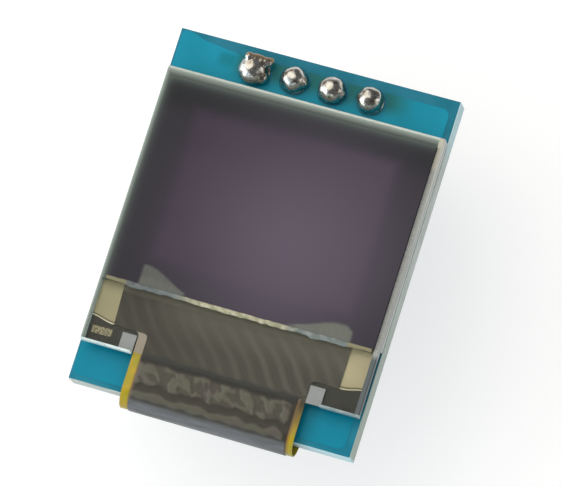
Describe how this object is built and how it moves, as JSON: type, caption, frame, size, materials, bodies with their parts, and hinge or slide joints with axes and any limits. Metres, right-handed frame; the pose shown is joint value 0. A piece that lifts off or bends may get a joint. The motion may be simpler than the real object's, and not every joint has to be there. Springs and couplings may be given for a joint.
{
  "type": "small oled module",
  "caption": "Small monochrome OLED display module: glass panel taped to a teal circuit board, flexible film folded round one end to the back, pin header at the other.",
  "frame": {"origin": "middle of the pin row, on the plane of the header's lower face, where the module stands on the board that it plugs into", "axes": "+Z the way the display looks, +Y towards the board's header edge, +X to the right seen from the front"},
  "size_m": [0.0186, 0.0245, 0.0115],
  "materials": {
    "laminate": "sawn glass-epoxy edge, cream",
    "solder_mask_front": "teal-blue solder mask, semi-gloss",
    "solder_mask_back": "teal-blue solder mask, semi-gloss",
    "tinned_copper": "tinned copper, satin",
    "header_plastic": "moulded black nylon",
    "pin_plating": "plated brass, bright",
    "solder": "bright solder",
    "mounting_tape": "double-sided foam tape",
    "back_glass": "etched back glass, seen mostly edge on",
    "desiccant": "drying sheet",
    "edge_seal": "cured seal resin",
    "organic_layers": "unlit emitting layers over metal",
    "front_glass": "clear thin glass with ground edges",
    "polarizer": "dark circular polarizer film",
    "glue": "cream cured glue",
    "mark_metal": "sputtered metal film",
    "code_print": "tan etched patch",
    "black_tape": "thin black tape",
    "polyimide": "amber polyimide film",
    "film_resist": "dark olive resist over copper lines",
    "contact_metal": "tinned copper contacts",
    "silicon": "polished silicon",
    "chip_resin": "black underfill resin",
    "capacitor_ceramic": "tan fired ceramic",
    "end_metal": "tinned end caps",
    "resistor_ceramic": "white alumina",
    "resistor_coat": "black overcoat",
    "moulded_plastic": "moulded epoxy",
    "lead_metal": "tinned leads"
  },
  "bodies": {
    "root": {"board_core": "laminate", "mask_front": "solder_mask_front", "mask_back": "solder_mask_back", "hole_plating": "tinned_copper", "smd_pads": "tinned_copper", "film_pads": "tinned_copper", "header_body": "header_plastic", "header_pin_1": "pin_plating", "header_pin_2": "pin_plating", "header_pin_3": "pin_plating", "header_pin_4": "pin_plating", "solder_joint_1": "solder", "solder_joint_2": "solder", "solder_joint_3": "solder", "solder_joint_4": "solder", "finger_solder": "solder", "smd_solder": "solder", "foam_tape": "mounting_tape", "cap_glass": "back_glass", "desiccant_sheet": "desiccant", "edge_seal": "edge_seal", "organic_layers": "organic_layers", "substrate_glass": "front_glass", "polarizer_film": "polarizer", "glue_bead": "glue", "alignment_marks": "mark_metal", "code_patch": "code_print", "bonding_tape": "black_tape", "flex_film": "polyimide", "flex_circuit": "film_resist", "film_fingers": "contact_metal", "driver_chip": "silicon", "chip_resin": "chip_resin", "capacitor_1": "capacitor_ceramic", "capacitor_2": "capacitor_ceramic", "capacitor_3": "capacitor_ceramic", "capacitor_4": "capacitor_ceramic", "capacitor_5": "capacitor_ceramic", "capacitor_ends_1": "end_metal", "capacitor_ends_2": "end_metal", "capacitor_ends_3": "end_metal", "capacitor_ends_4": "end_metal", "capacitor_ends_5": "end_metal", "resistor_ends_1": "end_metal", "resistor_ends_2": "end_metal", "resistor_ends_3": "end_metal", "resistor_ends_4": "end_metal", "resistor_1": "resistor_ceramic", "resistor_2": "resistor_ceramic", "resistor_3": "resistor_ceramic", "resistor_4": "resistor_ceramic", "resistor_coats": "resistor_coat", "regulator_body": "moulded_plastic", "regulator_leads": "lead_metal"}
  },
  "joints": []
}
